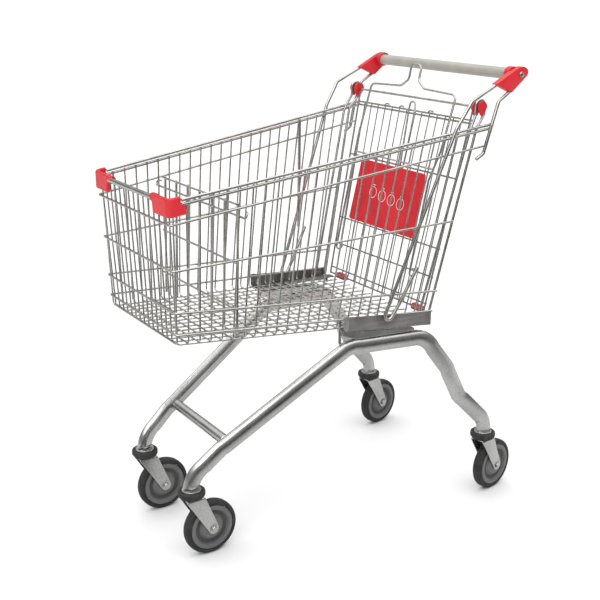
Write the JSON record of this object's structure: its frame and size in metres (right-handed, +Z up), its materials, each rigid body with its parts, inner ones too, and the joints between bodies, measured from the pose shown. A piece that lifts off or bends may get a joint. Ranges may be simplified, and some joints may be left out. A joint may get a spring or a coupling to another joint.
{
  "type": "shopping cart",
  "caption": "Wire basket cart on a bent oval tube chassis, with swivel casters, a push handle, a rear gate hinged at the top and a fold-out child seat.",
  "frame": {"origin": "centre of the outer box, on the floor", "axes": "+X towards the front of the cart, +Y to its left seen from behind the handle, +Z up"},
  "size_m": [0.889, 0.5221, 1.0165],
  "materials": {
    "bright_zinc_wire": "bright zinc plated wire",
    "galvanised_steel": "satin galvanised",
    "dark_steel_sheet": "dark satin coated steel sheet",
    "red_plastic": "satin red moulding",
    "black_rubber": "matt black",
    "grey_wheel_plastic": "mid grey moulding",
    "pale_grey_handle": "pale warm grey sleeve"
  },
  "bodies": {
    "cart": {"basket_divider": "bright_zinc_wire", "basket_floor": "bright_zinc_wire", "basket_front": "bright_zinc_wire", "basket_side_left": "bright_zinc_wire", "basket_side_right": "bright_zinc_wire", "corner_guard_left": "red_plastic", "corner_guard_right": "red_plastic", "cross_tube": "galvanised_steel", "front_left_ring": "black_rubber", "front_left_stem": "galvanised_steel", "front_right_ring": "black_rubber", "front_right_stem": "galvanised_steel", "front_rim_bar": "bright_zinc_wire", "gate_stop_left": "red_plastic", "gate_stop_right": "red_plastic", "handle_bolt_left": "bright_zinc_wire", "handle_bolt_right": "bright_zinc_wire", "handle_cap_left": "red_plastic", "handle_cap_right": "red_plastic", "handle_support_front_left": "bright_zinc_wire", "handle_support_front_right": "bright_zinc_wire", "handle_support_rear_left": "bright_zinc_wire", "handle_support_rear_right": "bright_zinc_wire", "handle_tube": "pale_grey_handle", "hinge_arch_left": "bright_zinc_wire", "hinge_arch_right": "bright_zinc_wire", "hinge_bushing_left": "red_plastic", "hinge_bushing_right": "red_plastic", "mount_plate_left": "galvanised_steel", "mount_plate_right": "galvanised_steel", "rear_left_ring": "black_rubber", "rear_left_stem": "galvanised_steel", "rear_right_ring": "black_rubber", "rear_right_stem": "galvanised_steel", "rim_wire_left": "bright_zinc_wire", "rim_wire_right": "bright_zinc_wire", "side_channel_left": "dark_steel_sheet", "side_channel_right": "dark_steel_sheet", "side_tube_left": "galvanised_steel", "side_tube_right": "galvanised_steel"},
    "caster_front_left": {"front_left_fork": "galvanised_steel", "front_left_axle": "galvanised_steel"},
    "wheel_front_left": {"front_left_hub": "grey_wheel_plastic", "front_left_tyre": "black_rubber"},
    "caster_front_right": {"front_right_fork": "galvanised_steel", "front_right_axle": "galvanised_steel"},
    "wheel_front_right": {"front_right_hub": "grey_wheel_plastic", "front_right_tyre": "black_rubber"},
    "caster_rear_left": {"rear_left_fork": "galvanised_steel", "rear_left_axle": "galvanised_steel"},
    "wheel_rear_left": {"rear_left_hub": "grey_wheel_plastic", "rear_left_tyre": "black_rubber"},
    "caster_rear_right": {"rear_right_fork": "galvanised_steel", "rear_right_axle": "galvanised_steel"},
    "wheel_rear_right": {"rear_right_hub": "grey_wheel_plastic", "rear_right_tyre": "black_rubber"},
    "gate": {"gate_panel": "bright_zinc_wire", "gate_hinge_wire": "bright_zinc_wire"},
    "seat_back": {"seat_back": "bright_zinc_wire"},
    "seat_plate": {"seat_plate": "red_plastic"}
  },
  "joints": [
    {"name": "front_left_swivel", "type": "hinge", "parent": "cart", "child": "caster_front_left", "pos_m": [0.384, 0.118, 0.15], "axis": [0, 0, 1], "continuous": true},
    {"name": "front_left_roll", "type": "hinge", "parent": "caster_front_left", "child": "wheel_front_left", "pos_m": [0.34203, 0.11653, 0.06196], "axis": [-0.0349, 0.9994, 0], "continuous": true},
    {"name": "front_right_swivel", "type": "hinge", "parent": "cart", "child": "caster_front_right", "pos_m": [0.384, -0.118, 0.15], "axis": [0, 0, 1], "continuous": true},
    {"name": "front_right_roll", "type": "hinge", "parent": "caster_front_right", "child": "wheel_front_right", "pos_m": [0.34203, -0.11947, 0.06196], "axis": [-0.0349, 0.9994, 0], "continuous": true},
    {"name": "rear_left_swivel", "type": "hinge", "parent": "cart", "child": "caster_rear_left", "pos_m": [-0.34, 0.23, 0.15], "axis": [0, 0, 1], "continuous": true},
    {"name": "rear_left_roll", "type": "hinge", "parent": "caster_rear_left", "child": "wheel_rear_left", "pos_m": [-0.38123, 0.22199, 0.06196], "axis": [-0.1908, 0.9816, 0], "continuous": true},
    {"name": "rear_right_swivel", "type": "hinge", "parent": "cart", "child": "caster_rear_right", "pos_m": [-0.34, -0.23, 0.15], "axis": [0, 0, 1], "continuous": true},
    {"name": "rear_right_roll", "type": "hinge", "parent": "caster_rear_right", "child": "wheel_rear_right", "pos_m": [-0.38123, -0.23801, 0.06196], "axis": [-0.1908, 0.9816, 0], "continuous": true},
    {"name": "gate_swing", "type": "hinge", "parent": "cart", "child": "gate", "pos_m": [-0.27842, 0, 0.933], "axis": [0, -1, 0], "range_deg": [0, 72]},
    {"name": "seat_back_fold", "type": "hinge", "parent": "gate", "child": "seat_back", "pos_m": [-0.17729, 0, 0.556], "axis": [0, 1, 0], "range_deg": [0, 38]},
    {"name": "seat_plate_fold", "type": "hinge", "parent": "gate", "child": "seat_plate", "pos_m": [-0.20066, 0, 0.628], "axis": [0, 1, 0], "range_deg": [0, 80]}
  ],
  "couplings": [
    {"joint": "seat_plate_fold", "follows": "seat_back_fold", "ratio": 2.1}
  ]
}
